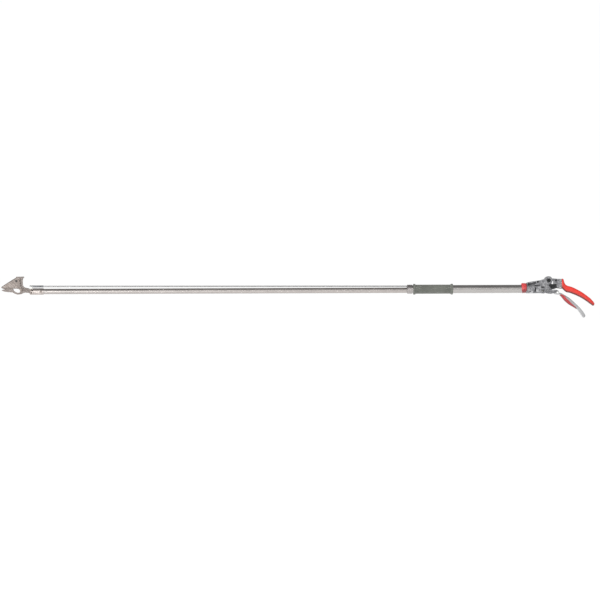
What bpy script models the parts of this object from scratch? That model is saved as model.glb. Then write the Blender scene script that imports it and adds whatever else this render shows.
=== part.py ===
"""Long-reach pole pruner: a cutting head on a thin pole, worked by an outside pull rod from a trigger handle.

Frame: +X runs along the tool to the hand end, +Z up, -Y is the side that shows the blade.
The origin is the middle of the rubber grip, on the handle tube's axis. Blender units are metres.
Run: blender --background --python part.py
"""

import bmesh
import bpy
from math import cos, pi, radians, sin
from mathutils import Vector

for old in list(bpy.data.objects):
    bpy.data.objects.remove(old, do_unlink=True)

MM = 0.001

# ---------------------------------------------------------------- driving dimensions
GAP = 0.3 * MM                 # between neighbours that touch on the real tool

TUBE_WALL = 1.0 * MM           # handle tube; its radius follows from what slides inside it
TUBE_BACK = 293 * MM           # rear end of the tube, inside the casting

POLE_R = 8.2 * MM
POLE_WALL = 1.2 * MM
POLE_OUT = 1105 * MM           # pole in the open, from the tube's mouth to the head's socket
POLE_IN = 330 * MM             # pole inside the handle tube when pushed home

ROD_R = 2.0 * MM
ROD_RISE = 7.3 * MM            # height of the rod's axis over the pole's surface at the head
ROD_IN = 320 * MM              # rod inside the handle tube when pushed home
DRAW_WALL = 0.6 * MM           # wall of the draw tube that the rod telescopes in

GRIP_LENGTH = 120 * MM
TUBE_FRONT = GRIP_LENGTH / 2 + 16 * MM   # mouth of the tube, ahead of the grip's middle
GRIP_WALL = 1.3 * MM
GRIP_FLANGE = 3.9 * MM         # height of the grip's end flanges over the tube
GRIP_FLANGE_WIDTH = 7.5 * MM

SOCKET_LENGTH = 40.6 * MM
SOCKET_WALL = 1.4 * MM
BLADE_T = 2.5 * MM             # moving blade
ANVIL_T = 3.5 * MM             # fixed counter blade with mast and hook bar
HOOK_WIDTH = 9 * MM            # width of the hook bar across the tool
LINK_T = 2.8 * MM
LINK_H = 6.4 * MM
PIN_R = 2.0 * MM
PIVOT_R = 2.6 * MM

BODY_WALL = 3.0 * MM
BODY_HALF = 7.5 * MM + BODY_WALL   # half width of the cast body, round the room for its mechanism
YOKE_HALF = 3.0 * MM           # trigger yoke between the shells
ROOT_HALF = 6.5 * MM           # its wide root below them
LEVER_HALF = 8.6 * MM
LEVER_T = 1.6 * MM
SLEEVE_HALF = 9.0 * MM
TRIGGER_PIN_R = 3.0 * MM
SCREW_R = 1.6 * MM
BUSH_END = 26 * MM             # the mouth's guide bush ends here, behind the mouth
TRAVEL_ROOM = 14 * MM          # for the carriage's stroke, ahead of what it moves

# ---------------------------------------------------------------- worked out from them
DRAW_BORE = ROD_R + GAP
DRAW_R = DRAW_BORE + DRAW_WALL
TUBE_BORE = POLE_R + DRAW_R + GAP + 0.1 * MM       # room for the pole with the draw tube over it
TUBE_R = TUBE_BORE + TUBE_WALL
POLE_Z = -(TUBE_BORE - GAP - POLE_R)               # the pole lies on the floor of the tube
ROD_Z = TUBE_BORE - GAP - DRAW_R                   # the draw tube runs under its roof
HEAD_X = -TUBE_FRONT - POLE_OUT                    # rear face of the head's socket
HEAD_Z = POLE_Z
ROD_HEAD_Z = HEAD_Z + POLE_R + ROD_RISE

SIDES = 40                                         # facets of the tubes
PIN_SIDES = 20


# ---------------------------------------------------------------- small modelling tools
def finish(name, colour, roughness, metallic):
    """A plain Principled material for one piece."""
    mat = bpy.data.materials.new(name)
    mat.use_nodes = True
    shader = mat.node_tree.nodes["Principled BSDF"]
    shader.inputs["Base Color"].default_value = (*colour, 1)
    shader.inputs["Roughness"].default_value = roughness
    shader.inputs["Metallic"].default_value = metallic
    return mat


STEEL = (0.42, 0.41, 0.39), 0.35, 1.0
BRIGHT = (0.62, 0.62, 0.62), 0.2, 1.0
ALUMINIUM = (0.56, 0.55, 0.55), 0.35, 1.0
CASTING = (0.30, 0.30, 0.31), 0.5, 0.9
BLACK = (0.02, 0.02, 0.02), 0.4, 0.3
RED = (0.62, 0.03, 0.02), 0.4, 0.0
RUBBER = (0.10, 0.105, 0.09), 0.8, 0.0
PLASTIC = (0.05, 0.05, 0.05), 0.5, 0.0


def piece(name, bm, look=None):
    """Turns a bmesh into a named object. Without a look it is a cutter."""
    bmesh.ops.remove_doubles(bm, verts=bm.verts, dist=1e-6)
    bmesh.ops.recalc_face_normals(bm, faces=bm.faces)
    mesh = bpy.data.meshes.new(name)
    bm.to_mesh(mesh)
    bm.free()
    obj = bpy.data.objects.new(name, mesh)
    bpy.context.scene.collection.objects.link(obj)
    if look:
        mesh.materials.append(finish(name, *look))
        mesh.shade_smooth()
        mesh.set_sharp_from_angle(angle=radians(35))
    return obj


def loft(rings, closed=True):
    """A bmesh skin through rings of points, with both ends filled, or with the last ring joined to the first."""
    bm = bmesh.new()
    loops = [[bm.verts.new(p) for p in ring] for ring in rings]
    pairs = zip(loops, loops[1:]) if closed else zip(loops, loops[1:] + loops[:1])
    for a, b in pairs:
        for i in range(len(a)):
            j = (i + 1) % len(a)
            bm.faces.new((a[i], a[j], b[j], b[i]))
    if closed:
        bm.faces.new(loops[0])
        bm.faces.new(reversed(loops[-1]))
    return bm


def turned(profile, axis, centre, sides=SIDES):
    """A profile of (along, radius) spun about an axis. With hollow profiles the outline returns on the bore."""
    rings = []
    hollow = all(r > 0 for _, r in profile)
    for i in range(sides):
        a = 2 * pi * (i + 0.5) / sides
        ring = []
        for along, r in profile:
            u, v = r * cos(a), r * sin(a)
            p = (along, u, v) if axis == "X" else (u, along, v)
            ring.append(Vector(p) + Vector(centre))
        rings.append(ring)
    if hollow:
        return loft(rings, closed=False)
    bm = bmesh.new()
    loops = [[bm.verts.new(p) for p in ring] for ring in rings]
    for a, b in zip(loops, loops[1:] + loops[:1]):
        for i in range(len(profile) - 1):
            bm.faces.new((a[i], a[i + 1], b[i + 1], b[i]))
    bmesh.ops.remove_doubles(bm, verts=bm.verts, dist=1e-7)
    for face in [f for f in bm.faces if f.calc_area() < 1e-14]:
        bm.faces.remove(face)
    return bm


def bar(x0, x1, r, z, y=0.0, sides=SIDES):
    """A plain round bar along X."""
    return turned([(x0, 0), (x0, r), (x1, r), (x1, 0)], "X", (0, y, z), sides)


def ring_x(x0, x1, bore, outer, z=0.0, sides=SIDES):
    """A plain tube along X."""
    return turned([(x0, bore), (x0, outer), (x1, outer), (x1, bore)], "X", (0, 0, z), sides)


def pin_y(x, z, profile, sides=PIN_SIDES):
    """A pin, screw or bolt across the tool: (y, radius) from its near end to its far end."""
    return turned([(profile[0][0], 0), *profile, (profile[-1][0], 0)], "Y", (x, 0, z), sides)


def prism(outline, y0, y1):
    """A flat plate: an outline in the XZ plane, from y0 to y1."""
    return loft([[(x, y, z) for x, z in outline] for y in (y0, y1)])


def box(x0, x1, y0, y1, z0, z1):
    return prism([(x0, z0), (x1, z0), (x1, z1), (x0, z1)], y0, y1)


def arc(cx, cz, r, start, end, steps):
    """Points on an arc in the XZ plane, angles in degrees from +X towards +Z."""
    for i in range(steps + 1):
        a = radians(start + (end - start) * i / steps)
        yield cx + r * cos(a), cz + r * sin(a)


def stadium(a, b, r, steps=8):
    """The outline of a flat link with a round end about each of two points."""
    run = Vector(b) - Vector(a)
    turn = Vector((1, 0)).angle_signed(run) * -180 / pi
    return [*arc(*a, r, turn + 90, turn + 270, steps), *arc(*b, r, turn - 90, turn + 90, steps)]


def shape(obj, operation, *tools):
    """Unites tools with a piece, or cuts them from it, and removes them."""
    for tool in tools:
        mod = obj.modifiers.new(operation, "BOOLEAN")
        mod.operation = operation
        mod.solver = "EXACT"
        mod.object = tool
        with bpy.context.temp_override(object=obj, active_object=obj):
            bpy.ops.object.modifier_apply(modifier=mod.name)
        bpy.data.objects.remove(tool, do_unlink=True)
    return obj


def tool(bm):
    return piece("tool", bm)


def cut(obj, *meshes):
    return shape(obj, "DIFFERENCE", *[tool(bm) for bm in meshes])


def add(obj, *meshes):
    return shape(obj, "UNION", *[tool(bm) for bm in meshes])


# ---------------------------------------------------------------- head
def head(points):
    """Points given from the socket's rear face and the pole's axis, in millimetres."""
    return [(HEAD_X + x * MM, HEAD_Z + z * MM) for x, z in points]


PIVOT = head([(-75.5, 32.8)])[0]
TAIL = head([(-67.3, 5.5)])[0]
REAR = head([(-37.8, 4.3)])[0]
TAIL_PLAY = 0.6 * MM           # the loop of links is opened here, so this hole is large
LINK_NEAR = -BLADE_T - 2 * GAP - LINK_T
SOCKET_R = POLE_R + GAP + SOCKET_WALL

def eased_line(points, keep):
    """An outline with each corner cut twice, as a contour mill leaves it, but for the corners kept."""
    for _ in range(2):
        line = []
        for i, (x, z) in enumerate(points):
            if (x, z) in keep:
                line.append((x, z))
                continue
            for nx, nz in (points[i - 1], points[(i + 1) % len(points)]):
                line.append((0.75 * x + 0.25 * nx, 0.75 * z + 0.25 * nz))
        points = line
    return points


anvil = piece("counter_blade", prism(head(eased_line([
    (-83, 45.5), (-60, 45.5), (-60, 41.2), (-63.2, 40.8), (-63.2, 21), (-61.6, 16.4), (-58, 13),
    (-52, 11.4), (-43.6, 9.8), (-42, 4.8), (-30, 4.8), (-30, -7.4), (-41.6, -7.4), (-43, -4.8),
    (-47, -4), (-53, -3.5), (-59.3, -3.6), (-64, -6), (-70, -8.3), (-76.6, -9.2), (-83, -8.3),
    (-89, -5.6), (-95.4, -2.2), (-109, -1.4), (-121, 0.3), (-128, 3.8), (-126, 5.2), (-118, 7.4),
    (-105, 9.2), (-95, 9.6), (-92, 8), (-91, 4), (-88, 0.6), (-82, -2.8), (-76, -3.8), (-71, -2),
    (-72, 4), (-74, 11), (-78, 21), (-84, 27), (-86, 34), (-85, 41.2),
], {(-83, 45.5), (-60, 45.5), (-60, 41.2), (-85, 41.2), (-42, 4.8), (-30, 4.8), (-30, -7.4), (-41.6, -7.4),
    (-128, 3.8), (-126, 5.2)})), 0, ANVIL_T), STEEL)
hook_low = HEAD_Z + 41.2 * MM
hook_top = HEAD_Z + 45.5 * MM
hook = piece("tool", box(HEAD_X - 83 * MM, HEAD_X - 60 * MM, 1 * MM, HOOK_WIDTH, hook_low, hook_top))
shape(anvil, "UNION", hook)
cut(anvil, pin_y(*PIVOT, [(-BLADE_T, PIVOT_R + GAP), (2 * ANVIL_T, PIVOT_R + GAP)]))
FRONT_RIVET = head([(-36.6, -4.6)])[0]
cut(anvil, pin_y(*FRONT_RIVET, [(-BLADE_T, PIN_R + GAP), (2 * ANVIL_T, PIN_R + GAP)]))

blade = piece("cutting_blade", prism(head(eased_line([
    (-128.5, 12.6), (-127.4, 14.6), (-108, 27.6), (-88, 39.6), (-84, 42), (-76, 43), (-71, 40.5),
    (-69.8, 31), (-70.3, 19), (-67, 10.4), (-64, 8.6), (-62.7, 5.5), (-64, 2.4), (-67.3, 0.9),
    (-70.6, 2.4), (-72.4, 6.6), (-80, 9.2), (-91, 8.6), (-110, 7.2), (-120, 7.6), (-126.4, 10.4),
], {(-128.5, 12.6), (-127.4, 14.6), (-126.4, 10.4)})), -BLADE_T - GAP, -GAP), STEEL)
blade_y = (-BLADE_T - 2 * GAP, GAP)
SET_SCREW = head([(-82.5, 32)])[0]
cut(blade, pin_y(*PIVOT, [(y, PIVOT_R + GAP) for y in blade_y]),
    pin_y(*TAIL, [(y, PIN_R + GAP) for y in blade_y]),
    pin_y(*SET_SCREW, [(y, 3.0 * MM) for y in blade_y]))
near = -BLADE_T - GAP
piece("blade_set_screw", pin_y(*SET_SCREW, [(near, 2.7 * MM), (-GAP, 2.7 * MM)]), BLACK)

bolt_head = near - GAP
far = ANVIL_T + GAP
pivot_bolt = piece("blade_pivot_bolt", pin_y(*PIVOT, [
    (bolt_head - 2.4 * MM, 3.4 * MM), (bolt_head - 1.8 * MM, 4 * MM), (bolt_head, 4 * MM),
    (bolt_head, PIVOT_R), (far + 5.5 * MM, PIVOT_R)]), STEEL)
piece("blade_pivot_nut", pin_y(*PIVOT, [(far, 4.6 * MM), (far + 4 * MM, 4.6 * MM)], 6), STEEL)
cut(bpy.data.objects["blade_pivot_nut"],
    pin_y(*PIVOT, [(far - GAP, PIVOT_R + GAP), (far + 5 * MM, PIVOT_R + GAP)]))

link = piece("blade_link", prism(stadium(TAIL, REAR, LINK_H / 2), LINK_NEAR, LINK_NEAR + LINK_T), STEEL)
link_y = (LINK_NEAR - GAP, LINK_NEAR + LINK_T + GAP)
cut(link, pin_y(*TAIL, [(y, PIN_R + TAIL_PLAY) for y in link_y]),
    pin_y(*REAR, [(y, PIN_R + GAP) for y in link_y]))
for name, at in (("blade_tail_pin", TAIL), ("rod_end_pin", REAR)):
    piece(name, pin_y(*at, [(LINK_NEAR - GAP - 1.6 * MM, 3.2 * MM), (LINK_NEAR - GAP, 3.2 * MM),
                            (LINK_NEAR - GAP, PIN_R), (-GAP, PIN_R)]), STEEL)

socket = piece("head_socket", turned(
    [(HEAD_X - SOCKET_LENGTH, 0), (HEAD_X - SOCKET_LENGTH, SOCKET_R - 0.8 * MM),
     (HEAD_X - SOCKET_LENGTH + 0.8 * MM, SOCKET_R), (HEAD_X - 0.6 * MM, SOCKET_R),
     (HEAD_X, SOCKET_R - 0.6 * MM), (HEAD_X, 0)], "X", (0, 0, HEAD_Z)), ALUMINIUM)
POLE_FRONT = HEAD_X - 28 * MM
RIVETS = {"socket_rivet_front": FRONT_RIVET, "socket_rivet_rear": head([(-8, -0.2)])[0]}
cut(socket, bar(POLE_FRONT - GAP, HEAD_X + MM, POLE_R + GAP, HEAD_Z),
    box(HEAD_X - 42 * MM, HEAD_X - 29.7 * MM, -GAP, ANVIL_T + GAP, HEAD_Z - 7.8 * MM, HEAD_Z + 5.2 * MM),
    box(HEAD_X - 42 * MM, HEAD_X - 31 * MM, -SOCKET_R - MM, -GAP / 2, HEAD_Z + 0.2 * MM, HEAD_Z + SOCKET_R + MM))
pole = piece("main_pole", ring_x(POLE_FRONT, -TUBE_FRONT + POLE_IN, POLE_R - POLE_WALL, POLE_R, POLE_Z),
             ALUMINIUM)
for name, at in RIVETS.items():
    reach = SOCKET_R + GAP
    through = pin_y(*at, [(-reach - MM, PIN_R + GAP), (reach + MM, PIN_R + GAP)])
    cut(socket, through)
    piece(name, pin_y(*at, [
        (-reach - 1.2 * MM, 2.2 * MM), (-reach - 0.5 * MM, 3.2 * MM), (-reach, 3.2 * MM), (-reach, PIN_R),
        (reach, PIN_R), (reach, 3.2 * MM), (reach + 0.5 * MM, 3.2 * MM), (reach + 1.2 * MM, 2.2 * MM)]), STEEL)
cut(pole, pin_y(*RIVETS["socket_rivet_rear"], [(-SOCKET_R, PIN_R + GAP), (SOCKET_R, PIN_R + GAP)]))

SLEEVE_R = ROD_R + GAP + 0.6 * MM
rod_end = piece("rod_end", bar(HEAD_X - 42 * MM, HEAD_X - 0.5 * MM, SLEEVE_R, ROD_HEAD_Z), STEEL)
add(rod_end, prism([*arc(*REAR, 3.2 * MM, 180, 360, 8), (REAR[0] + 3.2 * MM, ROD_HEAD_Z),
                    (REAR[0] - 3.2 * MM, ROD_HEAD_Z)], -2.9 * MM, -GAP))
cut(rod_end, bar(HEAD_X - 30 * MM, HEAD_X, ROD_R + GAP, ROD_HEAD_Z),
    pin_y(*REAR, [(-4 * MM, PIN_R + GAP), (GAP, PIN_R + GAP)]))

# the rod runs level in the tube, and is sprung away from the pole ahead of it by the rod end's height
ROD_MOUTH = -TUBE_FRONT - 8 * MM
rod_run = [(HEAD_X - 29 * MM, ROD_HEAD_Z), (HEAD_X, ROD_HEAD_Z), (ROD_MOUTH, ROD_Z),
           (-TUBE_FRONT + ROD_IN, ROD_Z)]
piece("pull_rod", loft([
    [Vector((x, ROD_R * cos(2 * pi * i / 16), z + ROD_R * sin(2 * pi * i / 16))) for i in range(16)]
    for x, z in rod_run]), BRIGHT)

# ---------------------------------------------------------------- tubes and forward grip
tube = piece("handle_tube", ring_x(-TUBE_FRONT, TUBE_BACK, TUBE_BORE, TUBE_R), ALUMINIUM)
bush = piece("tube_guide_bush", bar(-TUBE_FRONT + 2 * MM, -TUBE_FRONT + BUSH_END, TUBE_BORE - GAP, 0), PLASTIC)
bush_x = (-TUBE_FRONT, -TUBE_FRONT + BUSH_END + 2 * MM)
cut(bush, bar(*bush_x, POLE_R + GAP, POLE_Z), bar(*bush_x, ROD_R + GAP, ROD_Z, sides=16))
collar_x = -TUBE_FRONT - 2.5 * MM
collar = piece("tube_end_collar", turned(
    [(collar_x, TUBE_BORE + 0.1 * MM), (collar_x, TUBE_R + 0.6 * MM), (collar_x + 0.8 * MM, TUBE_R + 1.4 * MM),
     (collar_x + 14.5 * MM, TUBE_R + 1.4 * MM), (collar_x + 15 * MM, TUBE_R + 1.0 * MM),
     (collar_x + 15 * MM, TUBE_R + GAP), (-TUBE_FRONT - GAP, TUBE_R + GAP),
     (-TUBE_FRONT - GAP, TUBE_BORE + 0.1 * MM)], "X", (0, 0, 0)), ALUMINIUM)
LOCK = (-TUBE_FRONT + 7 * MM, POLE_Z)
for part in (collar, tube, bush):
    cut(part, pin_y(*LOCK, [(POLE_R, 2.3 * MM), (TUBE_R + 4 * MM, 2.3 * MM)]))
piece("pole_lock_screw", pin_y(*LOCK, [(POLE_R + GAP, 2.0 * MM), (TUBE_R + 2.4 * MM, 2.0 * MM)]), BLACK)

pole_end = -TUBE_FRONT + POLE_IN
plug_r = POLE_R - POLE_WALL - GAP
piece("pole_end_plug", turned([
    (pole_end - 12 * MM, 0), (pole_end - 12 * MM, plug_r - 0.5 * MM), (pole_end - 11 * MM, plug_r),
    (pole_end + GAP, plug_r), (pole_end + GAP, POLE_R), (pole_end + 2.5 * MM, POLE_R - 0.6 * MM),
    (pole_end + 2.5 * MM, 0)], "X", (0, 0, POLE_Z)), PLASTIC)

half = GRIP_LENGTH / 2
grip_bore, grip_r, flange_r = TUBE_R + GAP, TUBE_R + GRIP_WALL, TUBE_R + GRIP_FLANGE
piece("mid_grip", turned([
    (-half, grip_bore), (-half, flange_r - MM), (-half + MM, flange_r),
    (-half + GRIP_FLANGE_WIDTH - 2 * MM, flange_r), (-half + GRIP_FLANGE_WIDTH, grip_r),
    (half - GRIP_FLANGE_WIDTH, grip_r), (half - GRIP_FLANGE_WIDTH + 2 * MM, flange_r),
    (half - MM, flange_r), (half, flange_r - MM), (half, grip_bore)], "X", (0, 0, 0)), RUBBER)

# ---------------------------------------------------------------- cast handle body
def hand(points):
    """Points given from the trigger's pivot, in millimetres."""
    return [(T[0] + x * MM, T[1] + z * MM) for x, z in points]


BODY_X = TUBE_BACK - 10 * MM                        # front face of the casting
T = (BODY_X + 66.8 * MM, TUBE_R + 12.8 * MM)        # trigger pivot
OFFSET = 2.4 * MM                                   # the casting's barrel sits higher than the tube
BARREL_R = TUBE_R + 3.3 * MM
RED_R = TUBE_R + 2.9 * MM

red = piece("red_tube_collar", turned(
    [(BODY_X - 15 * MM, 0), (BODY_X - 15 * MM, RED_R - 1.6 * MM), (BODY_X - 12 * MM, RED_R),
     (BODY_X - 4 * MM, RED_R), (BODY_X - GAP, RED_R - 1.2 * MM), (BODY_X - GAP, 0)], "X", (0, 0, OFFSET)), RED)
cut(red, bar(BODY_X - 17 * MM, BODY_X + MM, TUBE_R + GAP, 0))

outline = hand([
    (-66.8, -38.6), (-24, -38.6), (-13.6, -39.6), (-11.6, -37.4), (-10.4, -31), (-6, -27), (0, -26.6), (18, -26.6), (24.5, -22), (24.5, 5),
    (13.5, 6), *[(12.7 * cos(radians(a)), 12.7 * sin(radians(a))) for a in range(28, 171, 11)],
    (-24, 0.8), (-46, -2), (-60.8, -5.2), (-66.8, -7.4)])
window = hand([(8.2, -10.6), (16.2, -10.6), (16.2, -1.6), (12.2, -1.6)])
slot = stadium(*hand([(-21.8, -20.3), (-14.2, -20.3)]), 2 * MM)
port = hand([(-22.6, -27.8), (-14.4, -28.6), (-12.9, -31), (-13.6, -36.8), (-17.5, -36.2), (-22, -32.5)])
cavity = hand([(-57, -36), (-27, -36), (-27, -50), (26, -50), (26, -24), (24.8, 3), (19.2, 3), (19.2, -11),
               (8, -14), (6.4, -14), (8.2, 4), (0, 9.6), (-8.6, 4), (-12, -6), (-57, -9)])
LATCH = hand([(10.9, -19.8)])[0]
SCREWS = {"shell_screw_front": hand([(-60, -10.4)])[0], "shell_screw_top": hand([(-33, -4.4)])[0],
          "arm_screw": hand([(22.1, -0.2)])[0]}
inner = BODY_HALF - BODY_WALL
for name, sign in (("body_shell_near", -1), ("body_shell_far", 1)):
    face, skin = sign * GAP / 2, sign * BODY_HALF
    shell = piece(name, prism(outline, face, skin), CASTING)
    barrel = tool(bar(BODY_X, BODY_X + 24 * MM, BARREL_R, OFFSET))
    side = -sign * 30 * MM
    cut(barrel, box(BODY_X - MM, BODY_X + 30 * MM, min(face, side), max(face, side), -40 * MM, 40 * MM))
    shape(shell, "UNION", barrel)
    add(shell, pin_y(*T, [(y, 10.8 * MM) for y in sorted((sign * 5 * MM, skin + sign * 2 * MM))], 32))
    cut(shell, prism(cavity, 0, sign * inner), prism(window, 0, 2 * skin),
        bar(BODY_X - MM, TUBE_BACK + GAP, TUBE_R + GAP, 0))
    cut(shell, pin_y(*T, [(y, TRIGGER_PIN_R + GAP) for y in sorted((0, 2 * skin))]),
        pin_y(*LATCH, [(y, TRIGGER_PIN_R + GAP) for y in sorted((0, 2 * skin))]))
    for at in SCREWS.values():
        cut(shell, pin_y(*at, [(y, SCREW_R + GAP) for y in sorted((0, 2 * skin))]))
    if sign < 0:
        cut(shell, prism(slot, 0, 2 * skin), prism(port, 0, 2 * skin))

for name, at in SCREWS.items():
    y = -BODY_HALF - GAP
    front = name == "shell_screw_front"
    y0 = y - 1.6 * MM - (2.6 * MM if front else 0)
    cut_y = y if not front else y - 2.6 * MM
    piece(name, pin_y(*at, [(y0, 2.9 * MM), (cut_y, 2.9 * MM), (cut_y, SCREW_R), (9 * MM, SCREW_R)]), BLACK)

boss = BODY_HALF + 2 * MM + GAP
piece("trigger_pivot_bolt", pin_y(*T, [
    (-boss - 4 * MM, 5.4 * MM), (-boss - 3.4 * MM, 6 * MM), (-boss, 6 * MM), (-boss, TRIGGER_PIN_R),
    (boss + 5 * MM, TRIGGER_PIN_R)], 24), BLACK)
nut = piece("trigger_pivot_nut", pin_y(*T, [(boss, 5.6 * MM), (boss + 4.4 * MM, 5.6 * MM)], 6), STEEL)
cut(nut, pin_y(*T, [(boss - MM, TRIGGER_PIN_R + GAP), (boss + 6 * MM, TRIGGER_PIN_R + GAP)]))

# ---------------------------------------------------------------- upper handle
arm = piece("upper_handle_arm", prism(hand([
    (24.8, -20.6), (39.5, -20.6), (39.5, 4.7), (24.8, 4.7)]), -BODY_HALF + GAP, BODY_HALF - GAP), CASTING)
add(arm, prism(hand([(19.6, -12), (30, -12), (30, 4.2), (24.9, 4.2), (24.9, 2.6), (19.6, 2.6)]), -inner + GAP, inner - GAP))
cut(arm, pin_y(*SCREWS["arm_screw"], [(-BODY_HALF, SCREW_R + GAP), (BODY_HALF, SCREW_R + GAP)]))


def swept(stations, half_width, sides, squareness=0.55):
    """A skin through (top, bottom) pairs in the XZ plane, each an oval as wide as the piece."""
    rings = []
    for top, bottom, narrow in stations:
        top, bottom = Vector(top), Vector(bottom)
        mid, up = (top + bottom) / 2, (top - bottom) / 2
        ring = []
        for i in range(sides):
            a = 2 * pi * i / sides
            c, s = cos(a), sin(a)
            c = abs(c) ** squareness * (1 if c > 0 else -1)
            s = abs(s) ** squareness * (1 if s > 0 else -1)
            at = mid + up * s
            ring.append(Vector((at.x, half_width * narrow * c, at.y)))
        rings.append(ring)
    return loft(rings)


top_line = hand([(40, 5.4), (45.4, 5), (50, -9), (56.1, -15.3), (67, -18.6), (79.1, -23.4), (102.5, -36.2),
                 (125.8, -53.5), (135, -63), (139.4, -68.6), (139.2, -71)])
low_line = hand([(40, -23.4), (41.6, -24.4), (46.5, -28.6), (55, -33.8), (66, -37.4), (79.1, -42),
                 (102.5, -53.5), (125.8, -69.9), (133, -75), (136, -77), (137.4, -76)])
widths = [1.2, 1.2, 1.0, 0.95, 0.95, 1.0, 1.0, 1.0, 0.92, 0.7, 0.4]
stations = list(zip(top_line, low_line, widths))
sleeve = piece("upper_grip_sleeve", swept(stations, SLEEVE_HALF, 20), RED)
TANG_HALF = 3.0 * MM


def tang_skin(margin, start, end):
    """The tang along the middle of the sleeve, as a bar, or a larger one that makes its pocket."""
    middle = [(Vector(a) + Vector(b)) / 2 for a, b, _ in stations[2:-2]]
    start_at = Vector(hand([(36, -12.6)])[0]) if start else middle[0]
    path = [start_at, *middle[:end]]
    rings = []
    for i, at in enumerate(path):
        along = (path[min(i + 1, len(path) - 1)] - path[max(i - 1, 0)]).normalized()
        across = Vector((-along.y, along.x)) * (4 * MM + margin)
        at = at + along * (margin if i == len(path) - 1 else -margin if i == 0 else 0)
        w = TANG_HALF + margin
        rings.append([(p.x, y, p.y) for p, y in ((at - across, -w), (at - across, w),
                                                 (at + across, w), (at + across, -w))])
    return loft(rings)


shape(arm, "UNION", tool(tang_skin(0, True, 6)))
cut(sleeve, tang_skin(GAP, True, 6))

# ---------------------------------------------------------------- trigger
yoke = piece("trigger_yoke", prism(hand([
    *[(7 * cos(radians(a)), 7 * sin(radians(a))) for a in range(-20, 201, 20)],
    (-8.8, -24), (-11.3, -30), (-8.8, -38), (2.5, -40.6), (12, -40.6), (12, -28.2), (5.6, -23), (5.6, -8)]),
    -YOKE_HALF, YOKE_HALF), CASTING)
add(yoke, prism(hand([(2.4, -28.4), (24, -28.4), (29.4, -31), (32.6, -36), (30.6, -39), (17, -39), (2.4, -40.4)]),
                -ROOT_HALF, ROOT_HALF))
RIVET = hand([(27.6, -35.6)])[0]
B = hand([(-3.8, -30.3)])[0]
C = hand([(-34.8, -30.3)])[0]
BORE = [(-BODY_HALF, TRIGGER_PIN_R + GAP), (BODY_HALF, TRIGGER_PIN_R + GAP)]
SMALL = [(-BODY_HALF, PIN_R + GAP), (BODY_HALF, PIN_R + GAP)]
cut(yoke, pin_y(*T, BORE), pin_y(*RIVET, SMALL), pin_y(*B, SMALL))

lever_top = hand([(18.4, -34.6), (28, -36.4), (38, -38.6), (47, -43.6), (55.2, -48.6), (66, -55.6), (79.7, -68.4),
                  (92, -80), (102.5, -92), (111.6, -105.4)])
lever_low = hand([(17.6, -42), (25.6, -44), (33.4, -47), (43, -55), (52.2, -65), (66, -76), (85, -89),
                  (94, -98), (101, -109), (105.6, -114.4)])
lever_rings, pad_rings = [], []
for i, (top, low) in enumerate(zip(lever_top, lever_low)):
    top, low = Vector(top), Vector(low)
    up = (top - low).normalized()
    low = low + up * (3.4 * MM if 2 <= i <= 6 else 0.6 * MM)
    floor = low + up * LEVER_T
    w, v = LEVER_HALF, LEVER_HALF - LEVER_T
    lever_rings.append([(p.x, y, p.y) for p, y in ((top, -w), (low, -w), (low, w), (top, w),
                                                   (top, v), (floor, v), (floor, -v), (top, -v))])
    if 2 <= i <= 6:
        skin = low - up * GAP
        under = skin - up * 3 * MM
        pad_rings.append([(p.x, y, p.y) for p, y in ((skin, -w), (under, -w * 0.8), (under, w * 0.8), (skin, w))])
lever = piece("trigger_lever", loft(lever_rings), BRIGHT)
cut(lever, pin_y(*RIVET, SMALL))
piece("trigger_liner", loft(pad_rings), RED)
out = LEVER_HALF + GAP
piece("lever_rivet", pin_y(*RIVET, [
    (-out - 1.6 * MM, 2.8 * MM), (-out - 0.6 * MM, 4.2 * MM), (-out, 4.2 * MM), (-out, PIN_R),
    (out, PIN_R), (out, 4.2 * MM), (out + 0.6 * MM, 4.2 * MM), (out + 1.6 * MM, 2.8 * MM)]), BRIGHT)

LINK_Y = YOKE_HALF + GAP
trigger_link = piece("trigger_link", prism(stadium(C, B, 4.2 * MM), LINK_Y, LINK_Y + 2.2 * MM), STEEL)
link_cut = (LINK_Y - MM, LINK_Y + 3 * MM)
cut(trigger_link, pin_y(*B, [(y, PIN_R + TAIL_PLAY) for y in link_cut]),
    pin_y(*C, [(y, PIN_R + GAP) for y in link_cut]))
for name, at in (("yoke_pin", B), ("carriage_pin", C)):
    piece(name, pin_y(*at, [(-YOKE_HALF - 0.8 * MM, PIN_R), (LINK_Y + 2.2 * MM + GAP, PIN_R),
                            (LINK_Y + 2.2 * MM + GAP, 2.9 * MM), (LINK_Y + 3.3 * MM + GAP, 2.9 * MM)]), STEEL)

DRAW_FRONT = -TUBE_FRONT + BUSH_END + TRAVEL_ROOM
CARRIAGE_X = C[0] - 6.6 * MM
carriage = piece("draw_carriage", box(CARRIAGE_X, C[0] + 6 * MM, -YOKE_HALF, YOKE_HALF, C[1] - 4.4 * MM, ROD_Z), CASTING)
add(carriage, bar(CARRIAGE_X, C[0] + 4 * MM, DRAW_R + 1.6 * MM, ROD_Z, sides=24))
cut(carriage, pin_y(*C, SMALL), bar(CARRIAGE_X - MM, C[0] + 1 * MM, DRAW_R + GAP, ROD_Z, sides=24))
piece("draw_tube", ring_x(DRAW_FRONT, C[0] + 0.6 * MM, DRAW_BORE, DRAW_R, ROD_Z, 24), STEEL)

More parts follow.
